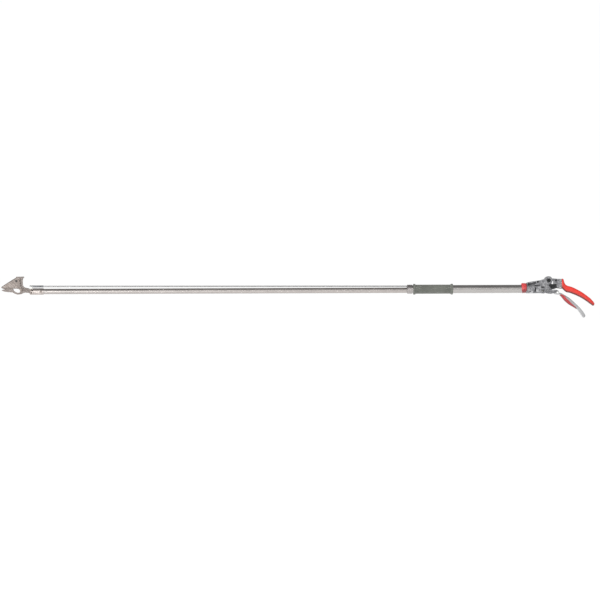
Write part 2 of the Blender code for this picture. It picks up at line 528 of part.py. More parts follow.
# return spring: three turns about the pivot bolt, one leg on the shell's roof and one towards the yoke
WIRE, COIL_R, TURNS, PITCH = 0.5 * MM, 5.4 * MM, 2.25, 1.25 * MM
SPRING_Y = YOKE_HALF + GAP + WIRE
steps = 44
coil = []
for i in range(steps + 1):
    a = 2 * pi * TURNS * i / steps
    coil.append(Vector((T[0] - COIL_R * sin(a), SPRING_Y + PITCH * TURNS * i / steps, T[1] + COIL_R * cos(a))))
first, last = coil[0], coil[-1]
coil = [first + Vector((4 * MM, 0, 0)), *coil, last + Vector((0, 0, -5 * MM))]
spring_rings = []
for i, at in enumerate(coil):
    along = (coil[min(i + 1, len(coil) - 1)] - coil[max(i - 1, 0)]).normalized()
    side = along.cross(Vector((0, 1, 0))).normalized()
    up = side.cross(along)
    spring_rings.append([at + side * WIRE * cos(2 * pi * k / 8) + up * WIRE * sin(2 * pi * k / 8) for k in range(8)])
piece("return_spring", loft(spring_rings), STEEL)

# ---------------------------------------------------------------- lock latch
reach = BODY_HALF + GAP
latch = piece("lock_latch", prism([*arc(*LATCH, 6.6 * MM, -170, -60, 8), *arc(*hand([(20.6, -14.2)])[0], 3.2 * MM, -60, 120, 6),
                                   *arc(*hand([(3.7, -14.5)])[0], 3 * MM, 60, 200, 6)], -reach - 4 * MM, -reach), BLACK)
add(latch, prism(hand([(17, -17), (24.6, -20.7), (38.5, -22.6), (38.5, -25.4), (24.6, -23.8), (14, -22)]),
                 -reach - 3 * MM, -reach - 0.6 * MM))
cut(latch, pin_y(*LATCH, [(-reach - 6 * MM, TRIGGER_PIN_R + GAP), (0, TRIGGER_PIN_R + GAP)]))
piece("latch_shaft", pin_y(*LATCH, [
    (-reach - 4.3 * MM - 2 * MM, 4 * MM), (-reach - 4 * MM - GAP, 4.6 * MM), (-reach - 4 * MM - GAP, TRIGGER_PIN_R),
    (reach, TRIGGER_PIN_R), (reach, 4.4 * MM), (reach + 2 * MM, 4.4 * MM)]), BLACK)
catch = piece("latch_catch", pin_y(*LATCH, [(-YOKE_HALF, 5 * MM), (YOKE_HALF, 5 * MM)]), STEEL)
cut(catch, pin_y(*LATCH, BORE))
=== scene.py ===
from math import cos, pi, radians, sin

import bpy
from mathutils import Matrix, Vector


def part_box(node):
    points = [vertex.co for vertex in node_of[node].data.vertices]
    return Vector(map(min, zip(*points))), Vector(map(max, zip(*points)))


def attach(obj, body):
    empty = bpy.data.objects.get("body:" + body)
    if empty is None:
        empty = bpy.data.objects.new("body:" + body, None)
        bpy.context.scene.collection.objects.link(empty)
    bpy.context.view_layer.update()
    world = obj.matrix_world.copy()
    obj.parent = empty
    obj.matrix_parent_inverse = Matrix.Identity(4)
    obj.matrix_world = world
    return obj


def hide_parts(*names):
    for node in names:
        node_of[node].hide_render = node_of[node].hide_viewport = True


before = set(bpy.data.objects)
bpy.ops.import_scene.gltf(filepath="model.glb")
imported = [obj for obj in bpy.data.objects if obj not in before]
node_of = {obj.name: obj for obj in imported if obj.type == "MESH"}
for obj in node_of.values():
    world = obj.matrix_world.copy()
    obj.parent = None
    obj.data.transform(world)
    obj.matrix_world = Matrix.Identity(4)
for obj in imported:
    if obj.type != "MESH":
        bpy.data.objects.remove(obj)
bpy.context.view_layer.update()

MM = 0.001
scene = bpy.context.scene

# ------------------------------------------------------------------ camera, light and floor
# The tool lies level across the view and is seen square from the blade's side, through a long lens.
# It is lit like a catalogue picture: a white room with a darker ceiling, which draws the dark line along
# the top of each tube, and soft boxes over and before it that add light but no glare of their own.
VIEW_WIDTH = 1.820
VIEW_DISTANCE = 6.0
VIEW_CENTRE = Vector((-0.4034, 0, -0.0314))
VIEW_ROLL = radians(0.2)

bpy.ops.object.select_all(action="DESELECT")
bpy.ops.object.camera_add(location=VIEW_CENTRE - Vector((0, VIEW_DISTANCE, 0)))
camera = bpy.context.object
camera.name = "view_camera"
camera.rotation_euler = (Matrix.Rotation(VIEW_ROLL, 3, "Y") @ Matrix.Rotation(pi / 2, 3, "X")).to_euler()
camera.data.sensor_width = 36
camera.data.lens = camera.data.sensor_width * VIEW_DISTANCE / VIEW_WIDTH
camera.data.clip_end = 60
scene.camera = camera


def soft_light(name, place, size, power, seen):
    """A rectangular soft box that faces the middle of the tool; seen says if polished metal mirrors it."""
    bpy.ops.object.light_add(type="AREA", location=place)
    light = bpy.context.object
    light.name = name
    light.data.shape = "RECTANGLE"
    light.data.size, light.data.size_y = size
    light.data.energy = power
    aim = Vector((-0.4, 0, 0)) - Vector(place)
    light.rotation_euler = aim.to_track_quat("-Z", "Y").to_euler()
    light.visible_glossy = seen


soft_light("overhead_box", (-0.4, -0.9, 2.4), (3.2, 1.1), 60, False)
soft_light("front_box", (-0.9, -3.2, 0.9), (2.8, 0.6), 14, True)
soft_light("left_glare_box", (-2.7, -3.0, -0.42), (1.3, 0.9), 110, True)
scene.view_settings.view_transform = "Standard"


def linear(hex_colour):
    """An sRGB hex colour as linear RGBA."""
    parts = [int(hex_colour[i:i + 2], 16) / 255 for i in (0, 2, 4)]
    return (*[p / 12.92 if p <= 0.04045 else ((p + 0.055) / 1.055) ** 2.4 for p in parts], 1)


def add_node(tree, kind, settings=None, **inputs):
    """Adds a node, with its settings, and its inputs as values or as sockets to link."""
    made = tree.nodes.new(kind)
    for key, value in (settings or {}).items():
        setattr(made, key, value)
    for key, value in inputs.items():
        numbered = key[0] == "i" and key[1:].isdigit()
        slot = made.inputs[int(key[1:]) if numbered else key.replace("_", " ")]
        if isinstance(value, bpy.types.NodeSocket):
            tree.links.new(value, slot)
        else:
            slot.default_value = value
    return made


def new_material(name, roughness, metallic, **sockets):
    """A Principled material; the rest of its sockets are set straight on the shader."""
    made = bpy.data.materials.new(name)
    made.use_nodes = True
    shader = made.node_tree.nodes["Principled BSDF"]
    shader.inputs["Roughness"].default_value = roughness
    shader.inputs["Metallic"].default_value = metallic
    for key, value in sockets.items():
        shader.inputs[key.replace("_", " ")].default_value = value
    return made, made.node_tree, shader


white_room = bpy.data.worlds.new("white_room")
scene.world = white_room
white_room.use_nodes = True
sky = white_room.node_tree
place = add_node(sky, "ShaderNodeTexCoord")
way = add_node(sky, "ShaderNodeSeparateXYZ", Vector=place.outputs["Generated"])
rise = add_node(sky, "ShaderNodeMapRange", {"interpolation_type": "SMOOTHSTEP"}, Value=way.outputs["Z"],
                From_Min=0.2, From_Max=0.95, To_Min=1.02, To_Max=0.36)
sky.nodes["Background"].inputs["Color"].default_value = linear("fefefe")
sky.links.new(rise.outputs[0], sky.nodes["Background"].inputs["Strength"])

paper, tree, shader = new_material("matt_studio_paper", 0.95, 0.0, Emission_Color=linear("ffffff"),
                                   Emission_Strength=0.5)
fine = add_node(tree, "ShaderNodeTexNoise", Scale=3.0, Detail=2.0)
tone = add_node(tree, "ShaderNodeMix", {"data_type": "RGBA"}, i0=fine.outputs["Fac"],
                i6=linear("fbfbfb"), i7=linear("ffffff"))
tree.links.new(tone.outputs[2], shader.inputs["Base Color"])
bpy.ops.mesh.primitive_plane_add(size=90, location=(0, 0, -0.62))
floor = bpy.context.object
floor.name = "studio_floor"
floor.data.materials.append(paper)

# ------------------------------------------------------------------ thin pole
# A drawn aluminium tube of 16.4 mm, clear anodised. Drawing leaves fine lines along it, which the
# anodising keeps; they stretch each reflection into long soft bands.


def edit(piece):
    """Makes one object active in edit mode, with all of it selected."""
    if bpy.context.mode != "OBJECT":
        bpy.ops.object.mode_set(mode="OBJECT")
    bpy.ops.object.select_all(action="DESELECT")
    piece.select_set(True)
    bpy.context.view_layer.objects.active = piece
    bpy.ops.object.mode_set(mode="EDIT")
    bpy.ops.mesh.select_all(action="SELECT")


def done():
    """Ends an edit and leaves nothing selected."""
    bpy.ops.object.mode_set(mode="OBJECT")
    bpy.ops.object.select_all(action="DESELECT")


def worked(piece, kind, **settings):
    """Adds a modifier to a piece and applies it."""
    step = piece.modifiers.new(kind.lower(), kind)
    for key, value in settings.items():
        setattr(step, key, value)
    with bpy.context.temp_override(object=piece, active_object=piece):
        bpy.ops.object.modifier_apply(modifier=step.name)
    return piece


def smooth(piece, degrees=32):
    """Shades a piece smooth, but for edges sharper than the angle given."""
    bpy.ops.object.select_all(action="DESELECT")
    piece.select_set(True)
    bpy.context.view_layer.objects.active = piece
    bpy.ops.object.shade_smooth_by_angle(angle=radians(degrees))
    bpy.ops.object.select_all(action="DESELECT")
    return piece


def blank(node, name):
    """A clean solid of a CAD node's form, as the stock that a finished piece is worked from."""
    stock = bpy.data.objects.new(name, node_of[node].data.copy())
    scene.collection.objects.link(stock)
    edit(stock)
    bpy.ops.mesh.customdata_custom_splitnormals_clear()
    bpy.ops.mesh.remove_doubles(threshold=0.000004)
    bpy.ops.mesh.dissolve_limited(angle_limit=radians(0.6))
    done()
    return stock


def eased(piece, width, segments=2, angle=32):
    """Breaks the sharp edges of a piece with a small round."""
    worked(piece, "BEVEL", width=width, segments=segments, limit_method="ANGLE", angle_limit=radians(angle),
           use_clamp_overlap=True, miter_outer="MITER_ARC")
    smooth(piece)
    return worked(piece, "WEIGHTED_NORMAL", keep_sharp=True)


def dressed(piece, material, slot, body, *nodes):
    """Gives a piece its material and its body, and puts it in place of CAD nodes; slot is not used."""
    piece.data.materials.clear()
    piece.data.materials.append(material)
    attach(piece, body)
    if nodes:
        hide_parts(*nodes)
    return piece


def drawn_aluminium(name, light, dark, line_mm, roughness):
    """Clear anodised aluminium with draw lines along X; line_mm is the width of a line across the tube."""
    made, tree, shader = new_material(name, roughness, 1.0, Coat_Weight=0.12, Coat_Roughness=0.25)
    place = add_node(tree, "ShaderNodeTexCoord")
    stretch = add_node(tree, "ShaderNodeMapping", Vector=place.outputs["Object"],
                       Scale=(2.5, 1 / (line_mm * MM), 1 / (line_mm * MM)))
    lines = add_node(tree, "ShaderNodeTexNoise", Vector=stretch.outputs["Vector"], Scale=0.5, Detail=3.0)
    cloud = add_node(tree, "ShaderNodeTexNoise", Vector=place.outputs["Object"], Scale=14.0, Detail=2.0)
    blend = add_node(tree, "ShaderNodeMath", {"operation": "ADD"}, i0=lines.outputs["Fac"],
                     i1=cloud.outputs["Fac"])
    share = add_node(tree, "ShaderNodeMapRange", Value=blend.outputs[0], From_Min=0.6, From_Max=1.4)
    tone = add_node(tree, "ShaderNodeMix", {"data_type": "RGBA"}, i0=share.outputs[0],
                    i6=linear(dark), i7=linear(light))
    gloss = add_node(tree, "ShaderNodeMapRange", Value=share.outputs[0], To_Min=roughness - 0.06,
                     To_Max=roughness + 0.08)
    relief = add_node(tree, "ShaderNodeBump", Strength=0.25, Distance=0.02 * MM, Height=lines.outputs["Fac"])
    tree.links.new(tone.outputs[2], shader.inputs["Base Color"])
    tree.links.new(gloss.outputs[0], shader.inputs["Roughness"])
    tree.links.new(relief.outputs[0], shader.inputs["Normal"])
    return made


pole_aluminium = drawn_aluminium("clear_anodised_drawn_aluminium", "a19c99", "96918e", 0.5, 0.4)
thin_pole = eased(blank("main_pole", "thin_pole"), 0.4 * MM)
dressed(thin_pole, pole_aluminium, "pole_aluminium", "pole", "main_pole")

# ------------------------------------------------------------------ handle tube and its end collar
# The 25 mm tube that the pole slides in, from the same drawn stock. A turned aluminium collar closes
# its mouth; two shallow grooves from the lathe run round it.
handle_tube = eased(blank("handle_tube", "drawn_handle_tube"), 0.25 * MM)
dressed(handle_tube, drawn_aluminium("clear_anodised_handle_tube", "9f9d9b", "959290", 0.7, 0.3),
        "pole_aluminium", "handle", "handle_tube")

GROOVE_DEPTH = 0.35 * MM
low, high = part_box("tube_end_collar")
end_collar = blank("tube_end_collar", "turned_end_collar")
for share in (0.42, 0.66):
    groove_x = low.x + share * (high.x - low.x)
    bpy.ops.mesh.primitive_torus_add(location=(groove_x, 0, 0), rotation=(0, pi / 2, 0), major_segments=64,
                                     minor_segments=12, major_radius=high.z + 0.2 * MM,
                                     minor_radius=0.2 * MM + GROOVE_DEPTH)
    groove = bpy.context.object
    worked(end_collar, "BOOLEAN", operation="DIFFERENCE", object=groove)
    bpy.data.objects.remove(groove)
eased(end_collar, 0.2 * MM, angle=50)
dressed(end_collar, drawn_aluminium("turned_collar_aluminium", "a19d9b", "888483", 0.9, 0.38),
        "pole_aluminium", "handle", "tube_end_collar")

# ------------------------------------------------------------------ small parts at the tube's mouth
# A moulded black bush guides the pole in the tube, and a black grub screw on the far side pinches it.
# The pole's own end carries a plug of the same plastic, which runs in the tube's bore.


def surface(name, light, dark, roughness, metallic, grain_mm, relief_mm, stretch=(1, 1, 1), turn=(0, 0, 0),
            spread=0.06, **sockets):
    """A finish whose tone, gloss and relief follow one grain, grain_mm wide, over a slow clouding."""
    made, tree, shader = new_material(name, roughness, metallic, **sockets)
    place = add_node(tree, "ShaderNodeTexCoord")
    lay = add_node(tree, "ShaderNodeMapping", Vector=place.outputs["Object"], Rotation=turn, Scale=stretch)
    grain = add_node(tree, "ShaderNodeTexNoise", Vector=lay.outputs["Vector"], Scale=0.5 / (grain_mm * MM),
                     Detail=4.0, Roughness=0.6)
    cloud = add_node(tree, "ShaderNodeTexNoise", Vector=place.outputs["Object"], Scale=45.0, Detail=3.0)
    blend = add_node(tree, "ShaderNodeMath", {"operation": "ADD"}, i0=grain.outputs["Fac"],
                     i1=cloud.outputs["Fac"])
    share = add_node(tree, "ShaderNodeMapRange", Value=blend.outputs[0], From_Min=0.7, From_Max=1.3)
    tone = add_node(tree, "ShaderNodeMix", {"data_type": "RGBA"}, i0=share.outputs[0],
                    i6=linear(dark), i7=linear(light))
    gloss = add_node(tree, "ShaderNodeMapRange", Value=share.outputs[0], To_Min=roughness + spread,
                     To_Max=roughness - spread)
    relief = add_node(tree, "ShaderNodeBump", Strength=0.5, Distance=relief_mm * MM,
                      Height=grain.outputs["Fac"])
    tree.links.new(tone.outputs[2], shader.inputs["Base Color"])
    tree.links.new(gloss.outputs[0], shader.inputs["Roughness"])
    tree.links.new(relief.outputs[0], shader.inputs["Normal"])
    return made


black_nylon = surface("moulded_black_nylon", "1e1e1f", "131314", 0.5, 0.0, 0.8, 0.03)
dressed(eased(blank("tube_guide_bush", "guide_bush"), 0.3 * MM), black_nylon, "black_plastic", "handle",
        "tube_guide_bush")
dressed(eased(blank("pole_end_plug", "pole_plug"), 0.3 * MM), black_nylon, "black_plastic", "pole",
        "pole_end_plug")


def hex_recess(piece, axis_at, mouth_y, key_mm, depth):
    """Sinks a hexagon socket, key_mm across its flats, into the face of a screw that looks along Y."""
    bpy.ops.mesh.primitive_cylinder_add(vertices=6, radius=key_mm * MM / 2 / cos(pi / 6), depth=2 * depth,
                                        location=(axis_at[0], mouth_y, axis_at[1]), rotation=(pi / 2, 0, 0))
    key = bpy.context.object
    worked(piece, "BOOLEAN", operation="DIFFERENCE", object=key)
    bpy.data.objects.remove(key)
    return piece


def axis_of(node):
    """The X and Z of the axis of a round node that lies along Y."""
    low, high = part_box(node)
    return (low.x + high.x) / 2, (low.z + high.z) / 2


black_oxide = surface("black_oxide_on_steel", "17181a", "0c0d0f", 0.36, 0.45, 0.25, 0.01, Coat_Weight=0.12,
                      Coat_Roughness=0.25)
lock_screw = blank("pole_lock_screw", "lock_screw")
hex_recess(lock_screw, axis_of("pole_lock_screw"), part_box("pole_lock_screw")[1].y, 2.0, 1.6 * MM)
dressed(eased(lock_screw, 0.2 * MM), black_oxide, "black_steel", "handle", "pole_lock_screw")

# ------------------------------------------------------------------ pull rod and its end
# A straightened 4 mm spring-steel rod, bright, that runs over the pole. Its end is crimped into a
# darker steel sleeve with an ear, and the crimping tool leaves three shallow rings round it.
spring_steel = surface("bright_drawn_spring_steel", "a9a9a9", "9b9b9a", 0.26, 1.0, 0.3, 0.01,
                       stretch=(0.02, 1, 1))
dressed(eased(blank("pull_rod", "spring_steel_rod"), 0.3 * MM), spring_steel, "bright_steel", "rod",
        "pull_rod")

zinc = surface("zinc_plated_steel", "a5a5a3", "83837f", 0.36, 1.0, 0.5, 0.015)
dark_zinc = surface("black_zinc_plated_sleeve", "7d7e80", "5e5f61", 0.36, 1.0, 0.5, 0.015)
low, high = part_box("rod_end")
rod_end = blank("rod_end", "crimped_rod_end")
for share in (0.45, 0.6, 0.75):
    ring_x = low.x + share * (high.x - low.x)
    bpy.ops.mesh.primitive_torus_add(location=(ring_x, 0, high.z - 2.9 * MM), rotation=(0, pi / 2, 0),
                                     major_segments=48, minor_segments=12, major_radius=3.5 * MM,
                                     minor_radius=0.95 * MM)
    ring = bpy.context.object
    worked(rod_end, "BOOLEAN", operation="DIFFERENCE", object=ring)
    bpy.data.objects.remove(ring)
eased(rod_end, 0.25 * MM, angle=40)
dressed(rod_end, dark_zinc, "plated_steel", "rod", "rod_end")
rod_end.data.materials.append(zinc)
for face in rod_end.data.polygons:
    face.material_index = 1 if face.center.z < high.z - 6.2 * MM else 0
dark_pin = surface("oiled_steel_pin", "77706b", "5a524d", 0.4, 0.9, 0.4, 0.015)
dressed(eased(blank("rod_end_pin", "rod_end_rivet"), 0.3 * MM), dark_pin, "plated_steel", "rod",
        "rod_end_pin")

# ------------------------------------------------------------------ head socket
# A turned aluminium cup that the pole is riveted into. A slot sawn in its nose takes the counter
# blade's tang, and two steel rivets go through it. A groove marks each end of the pole's seat.
low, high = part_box("head_socket")
HEAD_X, HEAD_Z = high.x, (low.z + high.z) / 2
SOCKET_R = (high.z - low.z) / 2


def from_head(x, z):
    """A point in metres, from millimetres behind the socket's rear face and over the pole's axis."""
    return HEAD_X + x * MM, HEAD_Z + z * MM


head_socket = blank("head_socket", "turned_head_socket")
for behind in (-30.0, -5.2, -3.2):
    bpy.ops.mesh.primitive_torus_add(location=(HEAD_X + behind * MM, 0, HEAD_Z), rotation=(0, pi / 2, 0),
                                     major_segments=64, minor_segments=12, major_radius=SOCKET_R + 0.15 * MM,
                                     minor_radius=0.6 * MM)
    groove = bpy.context.object
    worked(head_socket, "BOOLEAN", operation="DIFFERENCE", object=groove)
    bpy.data.objects.remove(groove)
socket_metal = surface("tumbled_socket_alloy", "b3aca8", "8f8783", 0.4, 1.0, 0.6, 0.02, stretch=(3, 0.4, 0.4))
dressed(eased(head_socket, 0.25 * MM, angle=40), socket_metal, "pole_aluminium", "pole", "head_socket")
for place in ("front", "rear"):
    rivet = blank("socket_rivet_" + place, place + "_socket_rivet")
    dressed(eased(rivet, 0.5 * MM), dark_pin, "plated_steel", "pole", "socket_rivet_" + place)

# ------------------------------------------------------------------ counter blade with its hook bar
# Hardened tool steel, 3.5 mm, blanked to shape with a bar across its top for pulling branches down.
# Its upper edge is eased, the lower jaw is ground thin towards the cut, and its faces are ground.


def ground_steel(name, light, dark, lay_angle):
    """Ground tool steel: fine scratches along lay_angle in the XZ plane, stains and a faint warm tint."""
    made, tree, shader = new_material(name, 0.42, 0.92, Coat_Weight=0.08, Coat_Roughness=0.4)
    place = add_node(tree, "ShaderNodeTexCoord")
    lay = add_node(tree, "ShaderNodeMapping", Vector=place.outputs["Object"], Rotation=(0, lay_angle, 0))
    squeeze = add_node(tree, "ShaderNodeMapping", Vector=lay.outputs["Vector"], Scale=(60, 900, 1600))
    scratch = add_node(tree, "ShaderNodeTexNoise", Vector=squeeze.outputs["Vector"], Scale=1.0, Detail=5.0,
                       Roughness=0.65)
    band = add_node(tree, "ShaderNodeMapping", Vector=lay.outputs["Vector"], Scale=(18, 100, 210))
    swath = add_node(tree, "ShaderNodeTexNoise", Vector=band.outputs["Vector"], Scale=1.0, Detail=2.0)
    stain = add_node(tree, "ShaderNodeTexNoise", Vector=place.outputs["Object"], Scale=70.0, Detail=5.0)
    both = add_node(tree, "ShaderNodeMath", {"operation": "ADD"}, i0=scratch.outputs["Fac"],
                    i1=swath.outputs["Fac"])
    share = add_node(tree, "ShaderNodeMapRange", Value=both.outputs[0], From_Min=0.7, From_Max=1.3)
    tone = add_node(tree, "ShaderNodeMix", {"data_type": "RGBA"}, i0=share.outputs[0],
                    i6=linear(dark), i7=linear(light))
    spot = add_node(tree, "ShaderNodeMapRange", Value=stain.outputs["Fac"], From_Min=0.52, From_Max=0.72,
                    To_Max=0.35)
    stained = add_node(tree, "ShaderNodeMix", {"data_type": "RGBA"}, i0=spot.outputs[0],
                       i6=tone.outputs[2], i7=linear("4c443e"))
    gloss = add_node(tree, "ShaderNodeMapRange", Value=share.outputs[0], To_Min=0.5, To_Max=0.33)
    relief = add_node(tree, "ShaderNodeBump", Strength=0.5, Distance=0.02 * MM, Height=scratch.outputs["Fac"])
    tree.links.new(stained.outputs[2], shader.inputs["Base Color"])
    tree.links.new(gloss.outputs[0], shader.inputs["Roughness"])
    tree.links.new(relief.outputs[0], shader.inputs["Normal"])
    return made


def grind(piece, start, end, face_y, width, depth, side):
    """Takes a wedge off one face along the line start-end: width over the face, depth at the edge.
    The stone lies on the side of the line given by side, 1 for below and -1 for above."""
    run = Vector((end[0] - start[0], 0, end[1] - start[1]))
    into = Vector((-run.z, 0, run.x)).normalized() * side
    out = Vector((0, 1 if face_y > 0 else -1, 0))
    middle = Vector((start[0], face_y, start[1])) + run / 2
    slope = (into * width + out * depth).normalized()
    normal = slope.cross(run.normalized())
    if normal.dot(out) < 0:
        normal.negate()
    turn = Matrix((run.normalized(), slope, normal)).transposed().to_4x4()
    size = (run.length + 8 * MM, 6 * width, 10 * MM)
    bpy.ops.mesh.primitive_cube_add(size=1)
    stone = bpy.context.object
    stone.scale = size
    bpy.ops.object.transform_apply(scale=True)
    edge_at = middle - out * depth
    stone.matrix_world = Matrix.Translation(edge_at + normal * size[2] / 2) @ turn
    bpy.context.view_layer.update()
    worked(piece, "BOOLEAN", operation="DIFFERENCE", object=stone)
    bpy.data.objects.remove(stone)


anvil_steel = ground_steel("ground_steel_counter_blade", "67615e", "524c49", radians(8))
counter_blade = blank("counter_blade", "counter_blade_with_hook")
ANVIL_FAR = 3.5 * MM
grind(counter_blade, from_head(-121, 0.3), from_head(-95.4, -2.2), ANVIL_FAR, 4.5 * MM, 1.6 * MM, 1)
eased(counter_blade, 0.45 * MM, angle=40)
dressed(counter_blade, anvil_steel, "tool_steel", "pole", "counter_blade")

# ------------------------------------------------------------------ cutting blade
# The moving blade, 2.5 mm tool steel, hung on the pivot bolt. Its lower edge is ground to the cut on
# the near face, its back is chamfered, and a black set screw beside the pivot adjusts its play.
blade_steel = ground_steel("ground_steel_cutting_blade", "6a6460", "564f4b", radians(-34))
cutting_blade = blank("cutting_blade", "ground_cutting_blade")
blade_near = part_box("cutting_blade")[0].y
grind(cutting_blade, from_head(-126.4, 9.4), from_head(-80, 7.4), blade_near, 6.5 * MM, 1.9 * MM, 1)
grind(cutting_blade, from_head(-127.4, 14.4), from_head(-86, 40.6), blade_near, 2.6 * MM, 0.9 * MM, -1)
eased(cutting_blade, 0.25 * MM, angle=40)
dressed(cutting_blade, blade_steel, "tool_steel", "blade", "cutting_blade")

set_screw = blank("blade_set_screw", "blade_set_screw_black")
hex_recess(set_screw, axis_of("blade_set_screw"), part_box("blade_set_screw")[0].y, 2.0, 1.4 * MM)
dressed(eased(set_screw, 0.2 * MM), black_oxide, "black_steel", "blade", "blade_set_screw")

# ------------------------------------------------------------------ pivot bolt, nut, link and pins
# A zinc plated shoulder bolt with a shallow domed head and a slot, its hexagon nut behind the hook,
# and the steel link that the rod's end pulls, on two headed pins.
pivot_bolt = blank("blade_pivot_bolt", "blade_pivot_shoulder_bolt")
at = axis_of("blade_pivot_bolt")
low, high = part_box("blade_pivot_bolt")
bpy.ops.mesh.primitive_cube_add(size=1, location=(at[0], low.y, at[1]), rotation=(0, radians(35), 0),
                                scale=(12 * MM, 1.8 * MM, 1.2 * MM))
saw = bpy.context.object
worked(pivot_bolt, "BOOLEAN", operation="DIFFERENCE", object=saw)
bpy.data.objects.remove(saw)
dressed(eased(pivot_bolt, 0.35 * MM, angle=40), dark_pin, "plated_steel", "pole", "blade_pivot_bolt")
dressed(eased(blank("blade_pivot_nut", "blade_pivot_hex_nut"), 0.5 * MM), zinc, "plated_steel", "pole",
        "blade_pivot_nut")
link_steel = ground_steel("blanked_steel_link", "605956", "4d4744", radians(2))
dressed(eased(blank("blade_link", "steel_blade_link"), 0.5 * MM), link_steel, "tool_steel", "blade_link",
        "blade_link")
dressed(eased(blank("blade_tail_pin", "blade_tail_rivet"), 0.6 * MM), dark_pin, "plated_steel", "blade",
        "blade_tail_pin")

# ------------------------------------------------------------------ rubber hand grip
# A matt olive-grey rubber sleeve moulded round the tube, 120 mm long, with a raised lip at each end
# and fine flutes along it that keep a wet hand from turning.
low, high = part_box("mid_grip")
FLUTES, FLUTE_R = 36, 0.5 * MM
LIP = 8.6 * MM
GRIP_R = 13.8 * MM
rubber_grip = blank("mid_grip", "fluted_rubber_grip")
flutes = []
for i in range(FLUTES):
    a = 2 * pi * i / FLUTES
    run = high.x - low.x - 2 * LIP
    reach = GRIP_R + 0.15 * MM
    bpy.ops.mesh.primitive_cylinder_add(vertices=8, radius=FLUTE_R, depth=run, rotation=(0, pi / 2, 0),
                                        location=(0, reach * cos(a), reach * sin(a)))
    flutes.append(bpy.context.object)
bpy.ops.object.select_all(action="DESELECT")
for flute in flutes:
    flute.select_set(True)
bpy.context.view_layer.objects.active = flutes[0]
bpy.ops.object.join()
cutter = bpy.context.object
worked(rubber_grip, "BOOLEAN", operation="DIFFERENCE", object=cutter)
bpy.data.objects.remove(cutter)
eased(rubber_grip, 0.3 * MM, angle=38)
rubber = surface("moulded_olive_grey_rubber", "5a5c56", "464843", 0.78, 0.0, 0.5, 0.06, spread=0.08,
                 Sheen_Weight=0.1, Sheen_Roughness=0.6)
dressed(rubber_grip, rubber, "grip_rubber", "handle", "mid_grip")

# ------------------------------------------------------------------ red collar in front of the casting
# A glossy red vinyl ring that covers the joint of the tube and the casting, with a rolled front edge
# and one shallow groove round its middle.


def vinyl(name, light, dark, under):
    """Dipped red vinyl: a wet-looking skin with slight orange peel; the faces that look down are darkened with
    painted shade.
    """
    made, tree, shader = new_material(name, 0.42, 0.0, Coat_Weight=0.18, Coat_Roughness=0.2, IOR=1.46)
    place = add_node(tree, "ShaderNodeTexCoord")
    peel = add_node(tree, "ShaderNodeTexNoise", Vector=place.outputs["Object"], Scale=420.0, Detail=2.0)
    cloud = add_node(tree, "ShaderNodeTexNoise", Vector=place.outputs["Object"], Scale=55.0, Detail=3.0)
    tone = add_node(tree, "ShaderNodeMix", {"data_type": "RGBA"}, i0=cloud.outputs["Fac"],
                    i6=linear(dark), i7=linear(light))
    # The under colour is painted shade: it darkens the faces whose normals point down.
    way = add_node(tree, "ShaderNodeNewGeometry")
    up = add_node(tree, "ShaderNodeSeparateXYZ", Vector=way.outputs["Normal"])
    share = add_node(tree, "ShaderNodeMapRange", Value=up.outputs["Z"], From_Min=-0.6, From_Max=0.0)
    painted_underside_shade = add_node(tree, "ShaderNodeMix", {"data_type": "RGBA"}, i0=share.outputs[0],
                      i6=linear(under), i7=tone.outputs[2])
    gloss = add_node(tree, "ShaderNodeMapRange", Value=cloud.outputs["Fac"], To_Min=0.36, To_Max=0.5)
    relief = add_node(tree, "ShaderNodeBump", Strength=0.2, Distance=0.03 * MM, Height=peel.outputs["Fac"])
    tree.links.new(painted_underside_shade.outputs[2], shader.inputs["Base Color"])
    tree.links.new(gloss.outputs[0], shader.inputs["Roughness"])
    tree.links.new(relief.outputs[0], shader.inputs["Normal"])
    return made


# The collar's third colour is painted shade on its faces that look down.
collar_vinyl = vinyl("glossy_red_vinyl_collar", "b83a3a", "98282b", "6a1a1e")
red_collar = blank("red_tube_collar", "red_vinyl_collar")
low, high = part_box("red_tube_collar")
COLLAR_Z = (low.z + high.z) / 2
bpy.ops.mesh.primitive_torus_add(location=((low.x + high.x) / 2 + 1 * MM, 0, COLLAR_Z),
                                 rotation=(0, pi / 2, 0),
                                 major_segments=80, minor_segments=12, minor_radius=1.1 * MM,
                                 major_radius=(high.z - low.z) / 2 + 0.5 * MM)
groove = bpy.context.object
worked(red_collar, "BOOLEAN", operation="DIFFERENCE", object=groove)
bpy.data.objects.remove(groove)
eased(red_collar, 0.7 * MM, segments=3, angle=30)
dressed(red_collar, collar_vinyl, "red_vinyl", "handle", "red_tube_collar")

# ------------------------------------------------------------------ cast body, in two shells
# Zinc die castings, tumbled and left bare, which close on each other in the tool's middle plane and
# are held by screws. Each has a rail along its top, a hooked rib behind the barrel and sunk panels
# between its ribs. Tumbling rounds the edges and leaves a grey speckled skin.
TRIGGER_AT = axis_of("trigger_pivot_bolt")


def from_trigger(x, z):
    """A point in metres, from millimetres behind and above the trigger's pivot."""
    return TRIGGER_AT[0] + x * MM, TRIGGER_AT[1] + z * MM


